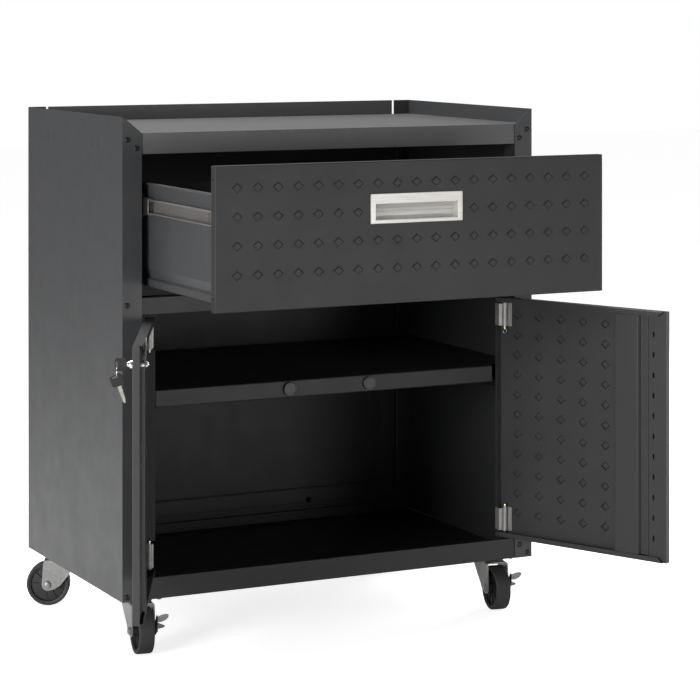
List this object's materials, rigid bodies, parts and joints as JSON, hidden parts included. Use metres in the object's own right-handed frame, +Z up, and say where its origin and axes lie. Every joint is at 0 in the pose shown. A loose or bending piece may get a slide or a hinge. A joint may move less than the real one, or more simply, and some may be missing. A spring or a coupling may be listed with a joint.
{
  "type": "wheeled storage cabinet",
  "caption": "Wheeled steel garage cabinet with a rimmed worktop, a wide full-width drawer and a two-door cupboard with a shelf.",
  "frame": {"origin": "centre of the worktop's upper face", "axes": "+X to the right seen from the front, +Y from the front to the back, +Z up"},
  "size_m": [0.9808, 0.7618, 0.8785],
  "materials": {
    "side_grey_paint": "semi-matt powder coat",
    "charcoal_paint": "satin powder coat",
    "dark_paint": "satin powder coat",
    "tray_grey_paint": "satin powder coat",
    "satin_metal": "satin",
    "magnet_steel": "satin",
    "zinc": "zinc plated",
    "slide_cage_black": "matt",
    "hinge_steel": "zinc plated",
    "lock_chrome": "polished",
    "key_black": "matt",
    "caster_zinc": "zinc plated",
    "wheel_rubber": "matt"
  },
  "bodies": {
    "cabinet": {"side_panel_left": "side_grey_paint", "side_panel_right": "side_grey_paint", "worktop": "side_grey_paint", "mid_rail": "charcoal_paint", "bottom_pan": "charcoal_paint", "back_panel": "dark_paint", "shelf_frame_left": "dark_paint", "shelf_frame_right": "dark_paint", "slide_outer_left": "zinc", "slide_outer_right": "zinc", "hinge_left_top_cabinet_leaf": "hinge_steel", "hinge_left_top_pin": "hinge_steel", "hinge_left_bottom_cabinet_leaf": "hinge_steel", "hinge_left_bottom_pin": "hinge_steel", "hinge_right_top_cabinet_leaf": "hinge_steel", "hinge_right_top_pin": "hinge_steel", "hinge_right_bottom_cabinet_leaf": "hinge_steel", "hinge_right_bottom_pin": "hinge_steel", "caster_front_left_plate": "caster_zinc", "caster_front_right_plate": "caster_zinc", "caster_rear_left_plate": "caster_zinc", "caster_rear_right_plate": "caster_zinc"},
    "shelf": {"shelf": "charcoal_paint", "magnet_left": "magnet_steel", "magnet_right": "magnet_steel"},
    "drawer": {"drawer_tray": "tray_grey_paint", "drawer_front": "charcoal_paint", "drawer_handle": "satin_metal", "slide_inner_left": "zinc", "slide_inner_right": "zinc"},
    "slide_cage_left": {"slide_cage_left": "slide_cage_black"},
    "slide_cage_right": {"slide_cage_right": "slide_cage_black"},
    "door_left": {"door_left": "charcoal_paint", "door_stiffener_left": "charcoal_paint", "hinge_left_top_door_leaf": "hinge_steel", "hinge_left_bottom_door_leaf": "hinge_steel", "lock_barrel": "lock_chrome"},
    "door_right": {"door_right": "charcoal_paint", "door_stiffener_right": "charcoal_paint", "hinge_right_top_door_leaf": "hinge_steel", "hinge_right_bottom_door_leaf": "hinge_steel"},
    "lock": {"lock_plug": "lock_chrome", "lock_cam": "hinge_steel"},
    "key": {"lock_key": "key_black"},
    "key_ring": {"key_ring": "lock_chrome"},
    "spare_key": {"spare_key": "key_black"},
    "caster_front_left_swivel": {"caster_front_left_fork": "caster_zinc", "caster_front_left_axle": "caster_zinc"},
    "caster_front_left_wheel": {"caster_front_left_wheel": "wheel_rubber"},
    "caster_front_left_brake": {"caster_front_left_brake": "caster_zinc"},
    "caster_front_right_swivel": {"caster_front_right_fork": "caster_zinc", "caster_front_right_axle": "caster_zinc"},
    "caster_front_right_wheel": {"caster_front_right_wheel": "wheel_rubber"},
    "caster_front_right_brake": {"caster_front_right_brake": "caster_zinc"},
    "caster_rear_left_swivel": {"caster_rear_left_fork": "caster_zinc", "caster_rear_left_axle": "caster_zinc"},
    "caster_rear_left_wheel": {"caster_rear_left_wheel": "wheel_rubber"},
    "caster_rear_right_swivel": {"caster_rear_right_fork": "caster_zinc", "caster_rear_right_axle": "caster_zinc"},
    "caster_rear_right_wheel": {"caster_rear_right_wheel": "wheel_rubber"}
  },
  "joints": [
    {"name": "drawer_slide", "type": "slide", "parent": "cabinet", "child": "drawer", "axis": [0, -1, 0], "range_m": [-0.293, 0.012]},
    {"name": "slide_cage_left_travel", "type": "slide", "parent": "cabinet", "child": "slide_cage_left", "axis": [0, -1, 0], "range_m": [-0.147, 0.0065]},
    {"name": "slide_cage_right_travel", "type": "slide", "parent": "cabinet", "child": "slide_cage_right", "axis": [0, -1, 0], "range_m": [-0.147, 0.0065]},
    {"name": "door_left_hinge", "type": "hinge", "parent": "cabinet", "child": "door_left", "pos_m": [-0.335, -0.2244, -0.514], "axis": [0, 0, 1], "range_deg": [-5, 114.9]},
    {"name": "door_right_hinge", "type": "hinge", "parent": "cabinet", "child": "door_right", "pos_m": [0.335, -0.2244, -0.514], "axis": [0, 0, 1], "range_deg": [-114.3, 5]},
    {"name": "shelf_lift", "type": "slide", "parent": "cabinet", "child": "shelf", "axis": [0, 0, 1], "range_m": [0, 0.06]},
    {"name": "lock_turn", "type": "hinge", "parent": "door_left", "child": "lock", "pos_m": [-0.46799, -0.49286, -0.3356], "axis": [0.907, -0.421, 0], "range_deg": [-57, 33]},
    {"name": "key_pull", "type": "slide", "parent": "lock", "child": "key", "axis": [-0.907, 0.421, 0], "range_m": [0, 0.03]},
    {"name": "key_ring_swing", "type": "hinge", "parent": "key", "child": "key_ring", "pos_m": [-0.49103, -0.48217, -0.341], "axis": [-0.421, -0.907, 0], "range_deg": [-25, 3], "stiffness_Nm_per_rad": 0.001},
    {"name": "spare_key_swing", "type": "hinge", "parent": "key_ring", "child": "spare_key", "pos_m": [-0.49103, -0.48217, -0.3538], "axis": [-0.421, -0.907, 0], "range_deg": [-40, 5], "stiffness_Nm_per_rad": 0.001},
    {"name": "caster_front_left_swivel_turn", "type": "hinge", "parent": "cabinet", "child": "caster_front_left_swivel", "pos_m": [-0.34, -0.1888, -0.77], "axis": [0, 0, 1], "continuous": true},
    {"name": "caster_front_left_wheel_spin", "type": "hinge", "parent": "caster_front_left_swivel", "child": "caster_front_left_wheel", "pos_m": [-0.34399, -0.2155, -0.814], "axis": [0.989, -0.1478, 0], "continuous": true},
    {"name": "caster_front_left_brake_press", "type": "hinge", "parent": "caster_front_left_swivel", "child": "caster_front_left_brake", "pos_m": [-0.34399, -0.2155, -0.814], "axis": [0.989, -0.1478, 0], "range_deg": [-5, 12]},
    {"name": "caster_front_right_swivel_turn", "type": "hinge", "parent": "cabinet", "child": "caster_front_right_swivel", "pos_m": [0.328, -0.1864, -0.77], "axis": [0, 0, 1], "continuous": true},
    {"name": "caster_front_right_wheel_spin", "type": "hinge", "parent": "caster_front_right_swivel", "child": "caster_front_right_wheel", "pos_m": [0.32401, -0.2131, -0.814], "axis": [0.989, -0.1478, 0], "continuous": true},
    {"name": "caster_front_right_brake_press", "type": "hinge", "parent": "caster_front_right_swivel", "child": "caster_front_right_brake", "pos_m": [0.32401, -0.2131, -0.814], "axis": [0.989, -0.1478, 0], "range_deg": [-5, 12]},
    {"name": "caster_rear_left_swivel_turn", "type": "hinge", "parent": "cabinet", "child": "caster_rear_left_swivel", "pos_m": [-0.344, 0.159, -0.77], "axis": [0, 0, 1], "continuous": true},
    {"name": "caster_rear_left_wheel_spin", "type": "hinge", "parent": "caster_rear_left_swivel", "child": "caster_rear_left_wheel", "pos_m": [-0.36816, 0.17105, -0.814], "axis": [-0.4462, -0.8949, 0], "continuous": true},
    {"name": "caster_rear_right_swivel_turn", "type": "hinge", "parent": "cabinet", "child": "caster_rear_right_swivel", "pos_m": [0.344, 0.159, -0.77], "axis": [0, 0, 1], "continuous": true},
    {"name": "caster_rear_right_wheel_spin", "type": "hinge", "parent": "caster_rear_right_swivel", "child": "caster_rear_right_wheel", "pos_m": [0.36816, 0.17105, -0.814], "axis": [-0.4462, 0.8949, 0], "continuous": true}
  ],
  "couplings": [
    {"joint": "slide_cage_left_travel", "follows": "drawer_slide", "ratio": 0.5},
    {"joint": "slide_cage_right_travel", "follows": "drawer_slide", "ratio": 0.5}
  ]
}
